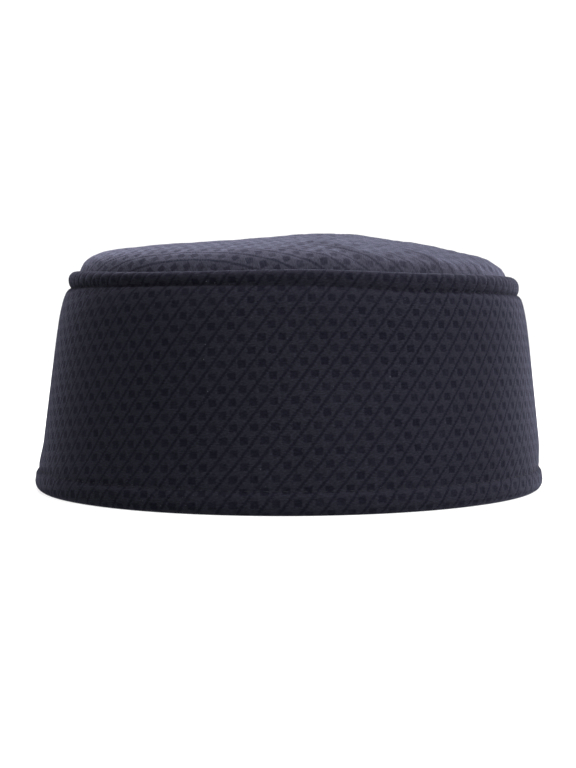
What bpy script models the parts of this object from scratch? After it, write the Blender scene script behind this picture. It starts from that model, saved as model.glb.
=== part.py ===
"""Kufi cap: an oval band of heavy woven cloth with a turned hem and a stitched welt, and a soft crown.

Metres, +Z up. The origin is the middle of the hem on the surface that the cap rests on, and the long
axis of the oval lies along Y. An azimuth is in degrees from -Y, positive towards +X. An inset is how
far a point lies inside the band's outer face.
"""

from math import atan2, cos, degrees, exp, hypot, pi, radians, sin
from typing import NamedTuple

import bpy

# The oval of the hem at its widest, and of the band at the line of stitching under the welt
HEM_HALF_WIDTH = 0.0915
HEM_HALF_DEPTH = 0.0970
RIM_HALF_WIDTH = 0.0813
RIM_HALF_DEPTH = 0.0844
# The band sits a little to one side of its hem, and the crown a little more
RIM_SHIFT_X = 0.0016
RIM_SHIFT_Y = 0.0003
SHIFT_AT_HEM = 0.45
SHIFT_REACH = 0.010

# Heights of the band
HEM_HEIGHT = 0.0076
RIM_STITCH_HEIGHT = 0.0704
WELT_WIDTH = 0.0055

# The band's cloth, and the thickness where it is turned in
PANEL_WALL = 0.0018
HEM_WALL = 0.0044
HEM_BELLY = 0.0012
HEM_BELLY_HEIGHT = 0.0032
HEM_SWELL_OUT = 0.70
HEM_SWELL_DOWN = 0.35
HEM_OUTER_ROUND = 0.0026
HEM_INNER_ROUND = 0.0008
HEM_TURNING = 0.0024
WELT_WALL = 0.0034
WELT_ROUND = 0.0024
WELT_TURNING = 0.0020
STEP_SLOPE = 0.0008
STITCH_GROOVE = 0.0004
STITCH_GROOVE_REACH = 0.0012

# How the panel leans in from the hem to the stitching: nearly straight, then a shoulder
STRAIGHT_LEAN = 0.80
STRAIGHT_POWER = 1.05
SHOULDER_POWER = 14

# The crown's cloth
CROWN_WALL = 0.0015
CROWN_RISE = 0.0146
CROWN_FULL_AZIMUTH = 100.0
SEAM_GAP = 0.0003
CREASE_DROP = 0.0004
# A fold starts this share of the crown's radius in from the seam, and loses this share of its height inwards
FOLD_START = 0.05
FOLD_FADE = 0.50

BAND_STEPS = 72
CROWN_STEPS = 108
PANEL_ROWS = 8
INNER_ROWS = 3
ROUND_STEPS = 3
MERGE_WITHIN = 1e-6
SHARP_ANGLE = 50.0


class RimRow(NamedTuple):
    """The rim at one azimuth, each length a share of WELT_WIDTH"""

    place: str
    azimuth: float
    stitch_lift: float
    edge_lift: float
    roll: float


RIM_ROWS = (
    RimRow("back left", -140.0, 0.05, 0.10, 0.05),
    RimRow("left", -70.0, 0.18, 0.24, 0.04),
    RimRow("front left", -18.0, 0.18, -0.04, 0.00),
    RimRow("front", 14.0, 0.16, 0.05, 0.00),
    RimRow("front right", 45.0, -0.18, -0.11, 0.05),
    RimRow("right", 92.0, -0.29, -0.12, 0.20),
    RimRow("back right", 150.0, -0.08, 0.00, 0.12),
)


class DomeRing(NamedTuple):
    """One ring of the crown: its radius as a share of the crease's, its height as shares of CROWN_RISE"""

    radius: float
    flat_side: float
    full_side: float


DOME_RINGS = (
    DomeRing(1.000, 0.000, 0.000),
    DomeRing(0.985, 0.200, 0.170),
    DomeRing(0.955, 0.365, 0.300),
    DomeRing(0.915, 0.475, 0.410),
    DomeRing(0.850, 0.580, 0.525),
    DomeRing(0.770, 0.655, 0.620),
    DomeRing(0.680, 0.710, 0.720),
    DomeRing(0.570, 0.765, 0.830),
    DomeRing(0.440, 0.820, 0.945),
    DomeRing(0.290, 0.875, 1.030),
    DomeRing(0.140, 0.940, 1.045),
    DomeRing(0.000, 1.000, 1.000),
)


class CrownFold(NamedTuple):
    """A soft ridge of the crown, from the seam inwards: ends as azimuth and share of the crease's radius,
    its height as a share of CROWN_RISE and its breadth as a share of RIM_HALF_WIDTH"""

    place: str
    seam_azimuth: float
    seam_share: float
    inner_azimuth: float
    inner_share: float
    height: float
    breadth: float


CROWN_FOLDS = (
    CrownFold("front ridge", 31.0, 0.94, 14.0, 0.66, 0.085, 0.045),
    CrownFold("middle ridge", 50.0, 0.94, 38.0, 0.62, 0.085, 0.045),
    CrownFold("side ridge", 74.0, 0.93, 56.0, 0.70, 0.070, 0.045),
    CrownFold("back ridge", -152.0, 0.93, -128.0, 0.66, 0.060, 0.050),
)


def mix(a: float, b: float, share: float) -> float:
    return a + (b - a) * share


def ease(share: float) -> float:
    """0 to 1 with level ends"""
    share = min(max(share, 0.0), 1.0)
    return share * share * (3.0 - 2.0 * share)


def around(column: str, azimuth: float) -> float:
    """A column of RIM_ROWS at any azimuth, eased from row to row right round the cap"""
    for index, row in enumerate(RIM_ROWS):
        after = RIM_ROWS[(index + 1) % len(RIM_ROWS)]
        span = (after.azimuth - row.azimuth) % 360.0
        past = (azimuth - row.azimuth) % 360.0
        if past <= span:
            return mix(getattr(row, column), getattr(after, column), ease(past / span))
    return getattr(RIM_ROWS[0], column)


def lean_share(height: float) -> float:
    """0 where the band has the hem's oval and 1 where it has the rim's"""
    up = (height - HEM_HEIGHT) / (RIM_STITCH_HEIGHT - HEM_HEIGHT)
    up = min(max(up, 0.0), 1.0)
    return STRAIGHT_LEAN * up**STRAIGHT_POWER + (1.0 - STRAIGHT_LEAN) * up**SHOULDER_POWER


def shift_share(height: float) -> float:
    """How much of the rim's shift the band has: some just above the hem, the rest as it leans"""
    above_hem = ease((height - HEM_HEIGHT) / SHIFT_REACH)
    return SHIFT_AT_HEM * above_hem + (1.0 - SHIFT_AT_HEM) * lean_share(height)


def rim_edge_height() -> float:
    return RIM_STITCH_HEIGHT + WELT_WIDTH


def lifted(height: float, azimuth: float) -> float:
    """The height that a point of the even band has on the uneven one"""
    stitch = around("stitch_lift", azimuth) * WELT_WIDTH
    edge = around("edge_lift", azimuth) * WELT_WIDTH
    if height <= RIM_STITCH_HEIGHT:
        return height + stitch * max(height - HEM_HEIGHT, 0.0) / (RIM_STITCH_HEIGHT - HEM_HEIGHT)
    return height + mix(stitch, edge, (height - RIM_STITCH_HEIGHT) / WELT_WIDTH)


def band_point(azimuth: float, inset: float, height: float) -> tuple[float, float, float]:
    """Where a point of the even, upright band lies on the real one"""
    lean = lean_share(height)
    over_stitch = max(height - RIM_STITCH_HEIGHT, 0.0) / WELT_WIDTH
    inward = inset + around("roll", azimuth) * WELT_WIDTH * over_stitch**2
    half_width = mix(HEM_HALF_WIDTH - HEM_BELLY, RIM_HALF_WIDTH, lean) - inward
    half_depth = mix(HEM_HALF_DEPTH - HEM_BELLY, RIM_HALF_DEPTH, lean) - inward
    turn = radians(azimuth)
    shift = shift_share(height)
    x = RIM_SHIFT_X * shift + half_width * sin(turn)
    y = RIM_SHIFT_Y * shift - half_depth * cos(turn)
    return x, y, lifted(height, azimuth)


def quarter(centre: tuple[float, float], reach: tuple[float, float], start: float) -> list[tuple[float, float]]:
    """A quarter of an oval, as insets and heights, from the angle start in degrees"""
    angles = (radians(start + 90.0 * step / ROUND_STEPS) for step in range(ROUND_STEPS + 1))
    return [(centre[0] + reach[0] * cos(angle), centre[1] + reach[1] * sin(angle)) for angle in angles]


def band_profile() -> list[tuple[float, float]]:
    """The band's wall, cut through: down the outer face, round the hem, up inside and over the welt"""
    edge = rim_edge_height()
    crease = (WELT_WALL, edge - CREASE_DROP)
    welt_round = quarter((WELT_ROUND, edge - WELT_ROUND), (WELT_ROUND, WELT_ROUND), 90.0)
    groove = [
        (0.0, RIM_STITCH_HEIGHT + STITCH_GROOVE_REACH),
        (STITCH_GROOVE, RIM_STITCH_HEIGHT),
        (0.0, RIM_STITCH_HEIGHT - STITCH_GROOVE_REACH),
    ]
    top, foot = RIM_STITCH_HEIGHT - 2.0 * STITCH_GROOVE_REACH, HEM_HEIGHT + STITCH_GROOVE_REACH
    panel = [(0.0, mix(top, foot, ease(row / PANEL_ROWS))) for row in range(PANEL_ROWS + 1)]
    belly = [
        (STITCH_GROOVE / 2.0, HEM_HEIGHT),
        (-HEM_BELLY * HEM_SWELL_OUT, mix(HEM_HEIGHT, HEM_BELLY_HEIGHT, HEM_SWELL_DOWN)),
    ]
    outer_reach = (HEM_OUTER_ROUND, HEM_BELLY_HEIGHT)
    foot_round = quarter((HEM_OUTER_ROUND - HEM_BELLY, HEM_BELLY_HEIGHT), outer_reach, 180.0)
    inner_face = HEM_WALL - HEM_BELLY
    inner_centre = (inner_face - HEM_INNER_ROUND, HEM_INNER_ROUND)
    inner_round = quarter(inner_centre, (HEM_INNER_ROUND, HEM_INNER_ROUND), 270.0)
    hem_top = HEM_HEIGHT + HEM_TURNING
    welt_foot = RIM_STITCH_HEIGHT - WELT_TURNING
    low, high = hem_top + STEP_SLOPE, welt_foot - STEP_SLOPE
    inner = [(PANEL_WALL, mix(low, high, row / INNER_ROWS)) for row in range(INNER_ROWS + 1)]
    inside = [(inner_face, hem_top), *inner, (WELT_WALL, welt_foot)]
    return [crease, *welt_round, *groove, *panel, *belly, *foot_round, *inner_round, *inside]


def crease_point(azimuth: float) -> tuple[float, float, float]:
    """Where the crown's outer face leaves the seam"""
    return band_point(azimuth, WELT_WALL + SEAM_GAP, rim_edge_height() - CREASE_DROP)


def fold_height(x: float, y: float, fold: CrownFold) -> float:
    """How far a fold lifts the crown at a point"""
    ends = []
    for azimuth, share in ((fold.seam_azimuth, fold.seam_share), (fold.inner_azimuth, fold.inner_share)):
        crease_x, crease_y, _ = crease_point(azimuth)
        ends.append((mix(RIM_SHIFT_X, crease_x, share), mix(RIM_SHIFT_Y, crease_y, share)))
    (seam_x, seam_y), (inner_x, inner_y) = ends
    run_x, run_y = inner_x - seam_x, inner_y - seam_y
    length = hypot(run_x, run_y)
    along = ((x - seam_x) * run_x + (y - seam_y) * run_y) / length
    aside = ((x - seam_x) * run_y - (y - seam_y) * run_x) / length
    beyond = max(-along, along - length, 0.0)
    breadth = fold.breadth * RIM_HALF_WIDTH
    fade = 1.0 - FOLD_FADE * min(max(along / length, 0.0), 1.0)
    return fold.height * CROWN_RISE * fade * exp(-(aside**2 + beyond**2) / breadth**2)


def dome_point(azimuth: float, ring: DomeRing) -> tuple[float, float, float]:
    """A point of the crown's outer face"""
    crease_x, crease_y, crease_z = crease_point(azimuth)
    x = mix(RIM_SHIFT_X, crease_x, ring.radius)
    y = mix(RIM_SHIFT_Y, crease_y, ring.radius)
    level = rim_edge_height() - CREASE_DROP
    full = 0.5 + 0.5 * cos(radians(azimuth - CROWN_FULL_AZIMUTH))
    rise = CROWN_RISE * mix(ring.flat_side, ring.full_side, full)
    folds = sum(fold_height(x, y, fold) for fold in CROWN_FOLDS) * ease((1.0 - ring.radius) / FOLD_START)
    return x, y, mix(level, crease_z, ring.radius**2) + rise + folds


def turned(name: str, profile: list[tuple[float, float]], steps: int, closed: bool) -> bpy.types.Mesh:
    """A profile of radii and heights turned about Z with a Screw modifier"""
    mesh = bpy.data.meshes.new(name + "_profile")
    count = len(profile)
    edges = [(index, (index + 1) % count) for index in range(count if closed else count - 1)]
    mesh.from_pydata([(radius, 0.0, height) for radius, height in profile], edges, [])
    guide = bpy.data.objects.new(name + "_profile", mesh)
    bpy.context.scene.collection.objects.link(guide)
    screw = guide.modifiers.new("Turn", "SCREW")
    screw.axis = "Z"
    screw.angle = 2.0 * pi
    screw.steps = screw.render_steps = steps
    screw.use_merge_vertices = True
    screw.merge_threshold = MERGE_WITHIN
    result = bpy.data.meshes.new_from_object(guide.evaluated_get(bpy.context.evaluated_depsgraph_get()))
    result.name = name
    bpy.data.objects.remove(guide)
    bpy.data.meshes.remove(mesh)
    return result


def azimuth_of(x: float, y: float) -> float:
    return degrees(atan2(x, -y))


def cloth(name: str, colour: tuple[float, float, float]) -> bpy.types.Material:
    """A matt woven cloth"""
    material = bpy.data.materials.new(name)
    material.diffuse_color = (*colour, 1.0)
    material.use_nodes = True
    shader = material.node_tree.nodes["Principled BSDF"]
    shader.inputs["Base Color"].default_value = (*colour, 1.0)
    shader.inputs["Roughness"].default_value = 0.9
    shader.inputs["Metallic"].default_value = 0.0
    return material


def add_piece(mesh: bpy.types.Mesh, collection: bpy.types.Collection, material: bpy.types.Material):
    """The finished piece, with its material and smooth shading"""
    mesh.materials.clear()
    mesh.materials.append(material)
    mesh.shade_smooth()
    mesh.set_sharp_from_angle(angle=radians(SHARP_ANGLE))
    piece = bpy.data.objects.new(mesh.name, mesh)
    collection.objects.link(piece)
    return piece


def build_side_band(collection: bpy.types.Collection) -> None:
    """The band with its hem and welt, turned as an even upright ring and then given its real form"""
    even_radius = HEM_HALF_WIDTH
    profile = [(even_radius - inset, height) for inset, height in band_profile()]
    mesh = turned("side_band", profile, BAND_STEPS, closed=True)
    for vertex in mesh.vertices:
        x, y, height = vertex.co
        vertex.co = band_point(azimuth_of(x, y), even_radius - hypot(x, y), height)
    add_piece(mesh, collection, cloth("navy_cloth_band", (0.018, 0.019, 0.030)))


def build_crown(collection: bpy.types.Collection) -> None:
    """The crown: a domed sheet with a skirt turned down inside the welt, thickened inwards"""
    skirt_foot = RIM_STITCH_HEIGHT - WELT_TURNING
    crease = rim_edge_height() - CREASE_DROP
    skirt = [crease, mix(crease, skirt_foot, 0.5), skirt_foot]
    # Each ring of the turned sheet stands at a level of its own, which tells it apart afterwards
    rings = [(ring.radius, float(index)) for index, ring in enumerate(reversed(DOME_RINGS))]
    rings += [(1.0, float(len(DOME_RINGS) + index)) for index in range(len(skirt) - 1)]
    mesh = turned("crown", [(radius, -level) for radius, level in rings], CROWN_STEPS, closed=False)
    for vertex in mesh.vertices:
        x, y, level = vertex.co
        azimuth, index = azimuth_of(x, y), round(-level)
        if index < len(DOME_RINGS):
            vertex.co = dome_point(azimuth, DOME_RINGS[len(DOME_RINGS) - 1 - index])
        else:
            vertex.co = band_point(azimuth, WELT_WALL + SEAM_GAP, skirt[index - len(DOME_RINGS) + 1])
    piece = add_piece(mesh, collection, cloth("navy_cloth_crown", (0.045, 0.047, 0.066)))
    wall = piece.modifiers.new("Cloth", "SOLIDIFY")
    wall.thickness = CROWN_WALL
    wall.offset = -1.0
    wall.use_even_offset = True


def main() -> None:
    for obj in list(bpy.data.objects):
        bpy.data.objects.remove(obj, do_unlink=True)
    collection = bpy.data.collections.new("kufi_cap")
    bpy.context.scene.collection.children.link(collection)
    build_side_band(collection)
    build_crown(collection)


main()
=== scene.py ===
"""Looks of a kufi cap: a band and a soft crown of heavy navy damask, with their stitching, on a pale floor.

Metres, +Z up, in the part's own frame. An azimuth is in degrees from -Y, positive towards +X. An inset is
how far a point lies inside the band's outer face. A cloth coordinate is a place on the flat cloth, along
the weave's rows and across them.
"""

import logging
from dataclasses import dataclass
from enum import Enum
from math import cos, hypot, pi, radians, sin, tan

import bpy
import numpy as np
from mathutils import Matrix, Vector, noise
from mathutils.bvhtree import BVHTree


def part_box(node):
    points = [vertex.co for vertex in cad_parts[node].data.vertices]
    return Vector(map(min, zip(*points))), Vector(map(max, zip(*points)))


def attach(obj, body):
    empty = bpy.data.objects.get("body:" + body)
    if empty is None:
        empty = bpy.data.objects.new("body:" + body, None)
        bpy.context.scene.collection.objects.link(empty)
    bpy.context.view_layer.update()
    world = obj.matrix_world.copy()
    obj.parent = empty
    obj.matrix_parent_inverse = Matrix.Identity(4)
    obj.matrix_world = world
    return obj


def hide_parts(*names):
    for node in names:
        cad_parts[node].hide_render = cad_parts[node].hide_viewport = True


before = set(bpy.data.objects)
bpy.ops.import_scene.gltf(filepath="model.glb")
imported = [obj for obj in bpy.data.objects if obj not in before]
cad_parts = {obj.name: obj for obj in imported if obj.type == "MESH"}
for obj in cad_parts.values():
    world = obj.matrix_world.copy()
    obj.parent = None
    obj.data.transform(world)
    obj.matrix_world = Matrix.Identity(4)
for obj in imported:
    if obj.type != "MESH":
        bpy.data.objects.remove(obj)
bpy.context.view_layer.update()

LOG = logging.getLogger("kufi_cap")
FULL_TURN = 360.0
MERGE_WITHIN = 1e-7
CLOTH_MAP = "cloth"


class Side(Enum):
    """The two faces of the cloth, by the material slot that each one takes."""

    RIGHT = 0
    REVERSE = 1


def mix(a: np.ndarray, b: np.ndarray, share: np.ndarray) -> np.ndarray:
    """A value between two others."""
    return a + (b - a) * share


def ease(share: np.ndarray) -> np.ndarray:
    """0 to 1 with level ends."""
    share = np.clip(share, 0.0, 1.0)
    return share * share * (3.0 - 2.0 * share)


def smooth_curve(knots: np.ndarray, levels: np.ndarray, at: np.ndarray) -> np.ndarray:
    """A smooth curve through a short table.

    Args:
        knots: Rising places of the table's rows.
        levels: The curve's value at each knot.
        at: Where the curve is wanted.

    Returns:
        The curve's values there.
    """
    slopes = np.gradient(levels, knots)
    index = np.clip(np.searchsorted(knots, at, side="right") - 1, 0, len(knots) - 2)
    span = knots[index + 1] - knots[index]
    past = (at - knots[index]) / span
    rise = (2.0 * past**3 - 3.0 * past**2 + 1.0) * levels[index]
    rise += (3.0 * past**2 - 2.0 * past**3) * levels[index + 1]
    rise += (past**3 - 2.0 * past**2 + past) * span * slopes[index]
    return rise + (past**3 - past**2) * span * slopes[index + 1]


@dataclass(frozen=True)
class RimRow:
    """The rim at one azimuth, each length a share of the welt's width."""

    azimuth: float
    stitch_lift: float
    edge_lift: float
    roll: float


@dataclass(frozen=True)
class DomeRing:
    """One ring of the crown: its radius as a share of the crease's, its heights as shares of the rise."""

    radius: float
    flat_side: float
    full_side: float


@dataclass(frozen=True)
class CrownFold:
    """A soft ridge of the crown, from the seam inwards: its ends by azimuth and share of the radius."""

    seam_azimuth: float
    seam_share: float
    inner_azimuth: float
    inner_share: float
    height: float
    breadth: float


RIM_ROWS = (
    RimRow(-140.0, 0.05, 0.10, 0.05),
    RimRow(-70.0, 0.18, 0.24, 0.04),
    RimRow(-18.0, 0.18, -0.04, 0.00),
    RimRow(14.0, 0.16, 0.05, 0.00),
    RimRow(45.0, -0.18, -0.11, 0.05),
    RimRow(92.0, -0.29, -0.12, 0.20),
    RimRow(150.0, -0.08, 0.00, 0.12),
)

DOME_RINGS = (
    DomeRing(1.000, 0.000, 0.000),
    DomeRing(0.985, 0.200, 0.170),
    DomeRing(0.955, 0.365, 0.300),
    DomeRing(0.915, 0.475, 0.410),
    DomeRing(0.850, 0.580, 0.525),
    DomeRing(0.770, 0.655, 0.620),
    DomeRing(0.680, 0.710, 0.720),
    DomeRing(0.570, 0.765, 0.830),
    DomeRing(0.440, 0.820, 0.945),
    DomeRing(0.290, 0.875, 1.030),
    DomeRing(0.140, 0.940, 1.045),
    DomeRing(0.000, 1.000, 1.000),
)

CROWN_FOLDS = (
    CrownFold(31.0, 0.94, 14.0, 0.66, 0.085, 0.045),
    CrownFold(50.0, 0.94, 38.0, 0.62, 0.085, 0.045),
    CrownFold(74.0, 0.93, 56.0, 0.70, 0.070, 0.045),
    CrownFold(-152.0, 0.93, -128.0, 0.66, 0.060, 0.050),
)


@dataclass(frozen=True)
class CapForm:
    """The form that the sewn cap keeps, with the solids' own sizes."""

    hem_half_width: float
    hem_half_depth: float
    rim_half_width: float = 0.0813
    rim_half_depth: float = 0.0844
    rim_shift_x: float = 0.0016
    rim_shift_y: float = 0.0003
    shift_at_hem: float = 0.45
    shift_reach: float = 0.010
    hem_height: float = 0.0076
    rim_stitch_height: float = 0.0704
    welt_width: float = 0.0055
    welt_wall: float = 0.0034
    hem_belly: float = 0.0012
    straight_lean: float = 0.80
    straight_power: float = 1.05
    shoulder_power: float = 14.0
    crown_wall: float = 0.0015
    crown_rise: float = 0.0146
    crown_full_azimuth: float = 100.0
    seam_gap: float = 0.0003
    crease_drop: float = 0.0004
    fold_start: float = 0.05
    fold_fade: float = 0.50

    @property
    def rim_edge_height(self) -> float:
        """The height of the welt's fold on an even rim."""
        return self.rim_stitch_height + self.welt_width

    @property
    def crease_height(self) -> float:
        """The height of the crown's seam on an even rim."""
        return self.rim_edge_height - self.crease_drop

    def around(self, column: str, azimuth: np.ndarray) -> np.ndarray:
        """A column of RIM_ROWS at any azimuth, eased from row to row right round the cap.

        Args:
            column: The field of RimRow to read.
            azimuth: Azimuths, in degrees.

        Returns:
            The field's value at each azimuth.
        """
        knots = np.array([row.azimuth for row in RIM_ROWS])
        levels = np.array([getattr(row, column) for row in RIM_ROWS])
        knots, levels = np.append(knots, knots[0] + FULL_TURN), np.append(levels, levels[0])
        turned = (azimuth - knots[0]) % FULL_TURN + knots[0]
        index = np.clip(np.searchsorted(knots, turned, side="right") - 1, 0, len(RIM_ROWS) - 1)
        past = (turned - knots[index]) / (knots[index + 1] - knots[index])
        return mix(levels[index], levels[index + 1], ease(past))

    def lean(self, height: np.ndarray) -> np.ndarray:
        """0 where the band has the hem's oval and 1 where it has the rim's.

        Args:
            height: Heights on the even band.

        Returns:
            The share at each height.
        """
        up = (height - self.hem_height) / (self.rim_stitch_height - self.hem_height)
        up = np.clip(up, 0.0, 1.0)
        straight = self.straight_lean * up**self.straight_power
        return straight + (1.0 - self.straight_lean) * up**self.shoulder_power

    def lifted(self, height: np.ndarray, azimuth: np.ndarray) -> np.ndarray:
        """The height that a point of the even band has on the uneven one.

        Args:
            height: Heights on the even band.
            azimuth: Azimuths, in degrees.

        Returns:
            The heights on the real band.
        """
        stitch = self.around("stitch_lift", azimuth) * self.welt_width
        edge = self.around("edge_lift", azimuth) * self.welt_width
        up = np.maximum(height - self.hem_height, 0.0) / (self.rim_stitch_height - self.hem_height)
        over = (height - self.rim_stitch_height) / self.welt_width
        return height + np.where(over <= 0.0, stitch * up, mix(stitch, edge, over))

    def band(self, azimuth: np.ndarray, inset: np.ndarray, height: np.ndarray) -> np.ndarray:
        """Where points of the even, upright band lie on the real one.

        Args:
            azimuth: Azimuths, in degrees.
            inset: How far each point lies inside the outer face.
            height: Heights on the even band.

        Returns:
            One row of x, y and z for each point.
        """
        azimuth, inset, height = np.broadcast_arrays(azimuth, inset, height)
        lean = self.lean(height)
        over = np.maximum(height - self.rim_stitch_height, 0.0) / self.welt_width
        inward = inset + self.around("roll", azimuth) * self.welt_width * over**2
        half_width = mix(self.hem_half_width - self.hem_belly, self.rim_half_width, lean) - inward
        half_depth = mix(self.hem_half_depth - self.hem_belly, self.rim_half_depth, lean) - inward
        above_hem = ease((height - self.hem_height) / self.shift_reach)
        shift = self.shift_at_hem * above_hem + (1.0 - self.shift_at_hem) * lean
        turn = np.radians(azimuth)
        x = self.rim_shift_x * shift + half_width * np.sin(turn)
        y = self.rim_shift_y * shift - half_depth * np.cos(turn)
        return np.stack([x, y, self.lifted(height, azimuth)], axis=-1)

    def crease(self, azimuth: np.ndarray) -> np.ndarray:
        """Where the crown's outer face leaves the seam."""
        return self.band(azimuth, self.welt_wall + self.seam_gap, self.crease_height)

    def fold_lift(self, x: np.ndarray, y: np.ndarray) -> np.ndarray:
        """How far the crown's folds lift it at points of its plan.

        Args:
            x: Places across the cap.
            y: Places along it.

        Returns:
            The lift at each place.
        """
        lift = np.zeros_like(x)
        for fold in CROWN_FOLDS:
            seam = self.plan_point(fold.seam_azimuth, fold.seam_share)
            inner = self.plan_point(fold.inner_azimuth, fold.inner_share)
            run = inner - seam
            length = hypot(*run)
            along = ((x - seam[0]) * run[0] + (y - seam[1]) * run[1]) / length
            aside = ((x - seam[0]) * run[1] - (y - seam[1]) * run[0]) / length
            beyond = np.maximum(np.maximum(-along, along - length), 0.0)
            breadth = fold.breadth * self.rim_half_width
            fade = 1.0 - self.fold_fade * np.clip(along / length, 0.0, 1.0)
            lift += fold.height * self.crown_rise * fade * np.exp(-(aside**2 + beyond**2) / breadth**2)
        return lift

    def plan_point(self, azimuth: float, share: float) -> np.ndarray:
        """A point of the crown's plan, by azimuth and share of the crease's radius."""
        crease = self.crease(np.array(azimuth))[:2]
        return mix(np.array([self.rim_shift_x, self.rim_shift_y]), crease, share)

    def dome(self, azimuth: np.ndarray, share: np.ndarray) -> np.ndarray:
        """Points of the crown's outer face, by azimuth and share of the crease's radius.

        Args:
            azimuth: Azimuths, in degrees.
            share: Shares of the crease's radius.

        Returns:
            One row of x, y and z for each point.
        """
        rings = DOME_RINGS[::-1]
        knots = np.array([ring.radius for ring in rings])
        flat = smooth_curve(knots, np.array([ring.flat_side for ring in rings]), share)
        full = smooth_curve(knots, np.array([ring.full_side for ring in rings]), share)
        crease = self.crease(azimuth)
        x = mix(self.rim_shift_x, crease[..., 0], share)
        y = mix(self.rim_shift_y, crease[..., 1], share)
        to_full = 0.5 + 0.5 * np.cos(np.radians(azimuth - self.crown_full_azimuth))
        rise = self.crown_rise * mix(flat, full, to_full)
        folds = self.fold_lift(x, y) * ease((1.0 - share) / self.fold_start)
        base = mix(self.crease_height, crease[..., 2], share**2)
        return np.stack([x, y, base + rise + folds], axis=-1)


@dataclass(frozen=True)
class DamaskChart:
    """The damask: squares in staggered rows, and a thin pinched line slanting between them."""

    column_pitch: float = 0.006658
    row_pitch: float = 0.003997
    square_width: float = 0.0026
    square_height: float = 0.0024
    line_width: float = 0.00085
    thread_pitch: float = 0.00042
    puff_depth: float = 0.00004
    pinch_depth: float = 0.00002
    pinch_reach: float = 0.00060
    square_depth: float = 0.00012
    square_round: float = 0.00060

    @property
    def slope_share(self) -> float:
        """Turns a distance along a row into one straight across the slanting lines."""
        return self.row_pitch / hypot(self.column_pitch / 2.0, self.row_pitch)

    def off_line(self, cloth: np.ndarray) -> np.ndarray:
        """How far cloth coordinates lie from the nearest slanting line."""
        stripe = cloth[:, 0] / self.column_pitch - cloth[:, 1] / (2.0 * self.row_pitch) - 0.5
        return np.abs(stripe - np.round(stripe)) * self.column_pitch * self.slope_share

    def on_line(self, cloth: np.ndarray) -> np.ndarray:
        """1 on a slanting line, falling to 0 beside it."""
        return np.exp(-((self.off_line(cloth) / self.pinch_reach) ** 2))

    def relief(self, cloth: np.ndarray) -> np.ndarray:
        """How far the cloth's face lies below its highest threads.

        Args:
            cloth: One row of cloth coordinates for each point.

        Returns:
            The depth at each point.
        """
        along, across = cloth[:, 0], cloth[:, 1]
        stripe_half = self.column_pitch * self.slope_share / 2.0
        puff = self.puff_depth * (1.0 - self.off_line(cloth) / stripe_half) ** 2
        pinch = self.pinch_depth * self.on_line(cloth)
        row = np.round(across / self.row_pitch)
        off_row = np.abs(across - row * self.row_pitch)
        column = along / self.column_pitch - row / 2.0
        off_column = np.abs(column - np.round(column)) * self.column_pitch
        in_row = ease((self.square_height / 2.0 - off_row) / self.square_round + 0.5)
        in_column = ease((self.square_width / 2.0 - off_column) / self.square_round + 0.5)
        return puff + pinch + self.square_depth * in_row * in_column


def deselect_all() -> None:
    """Leaves nothing selected."""
    for thing in bpy.context.selected_objects:
        thing.select_set(False)


def make_active(piece: bpy.types.Object) -> None:
    """Selects one object alone and makes it the active one.

    Args:
        piece: The object.
    """
    deselect_all()
    piece.select_set(True)
    bpy.context.view_layer.objects.active = piece


def turned(name: str, profile: list[tuple[float, float]], steps: int, closed: bool) -> bpy.types.Object:
    """Draws a profile with the extrude tool and turns it round Z.

    Args:
        name: The new object's name.
        profile: Radii and heights, in order.
        steps: How many steps a full turn has.
        closed: Whether the profile's last point joins its first.

    Returns:
        The turned object, with its doubles merged and its normals facing out.
    """
    deselect_all()
    bpy.ops.mesh.primitive_plane_add(size=1.0, location=(0.0, 0.0, 0.0))
    piece = bpy.context.active_object
    piece.name = piece.data.name = name
    bpy.ops.object.mode_set(mode="EDIT")
    bpy.ops.mesh.select_mode(type="VERT")
    bpy.ops.mesh.select_all(action="SELECT")
    bpy.ops.mesh.merge(type="CENTER")
    bpy.ops.transform.translate(value=(profile[0][0], 0.0, profile[0][1]))
    for here, after in zip(profile, profile[1:]):
        step = (after[0] - here[0], 0.0, after[1] - here[1])
        bpy.ops.mesh.extrude_region_move(TRANSFORM_OT_translate={"value": step})
    if closed:
        ends = [Vector((radius, 0.0, height)) for radius, height in (profile[0], profile[-1])]
        bpy.ops.object.mode_set(mode="OBJECT")
        for vertex in piece.data.vertices:
            vertex.select = min((vertex.co - end).length for end in ends) < MERGE_WITHIN
        bpy.ops.object.mode_set(mode="EDIT")
        bpy.ops.mesh.edge_face_add()
    bpy.ops.object.mode_set(mode="OBJECT")
    turn = piece.modifiers.new("Turn", "SCREW")
    turn.steps = turn.render_steps = steps
    turn.use_merge_vertices = True
    turn.merge_threshold = MERGE_WITHIN
    bpy.ops.object.modifier_apply(modifier="Turn")
    bpy.ops.object.mode_set(mode="EDIT")
    bpy.ops.mesh.select_all(action="SELECT")
    bpy.ops.mesh.remove_doubles(threshold=MERGE_WITHIN)
    bpy.ops.mesh.normals_make_consistent(inside=False)
    bpy.ops.object.mode_set(mode="OBJECT")
    return piece


def finely(corners: list[tuple[float, float]], step: float) -> list[tuple[float, float]]:
    """Points no further apart than a step along a line, its corners kept, without its last corner.

    Args:
        corners: The line's corners, in order.
        step: The largest distance between points.

    Returns:
        The points, in order.
    """
    points = []
    for here, after in zip(corners, corners[1:]):
        count = max(1, round(hypot(after[0] - here[0], after[1] - here[1]) / step))
        points += [tuple(mix(np.array(here), np.array(after), share / count)) for share in range(count)]
    return points


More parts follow.
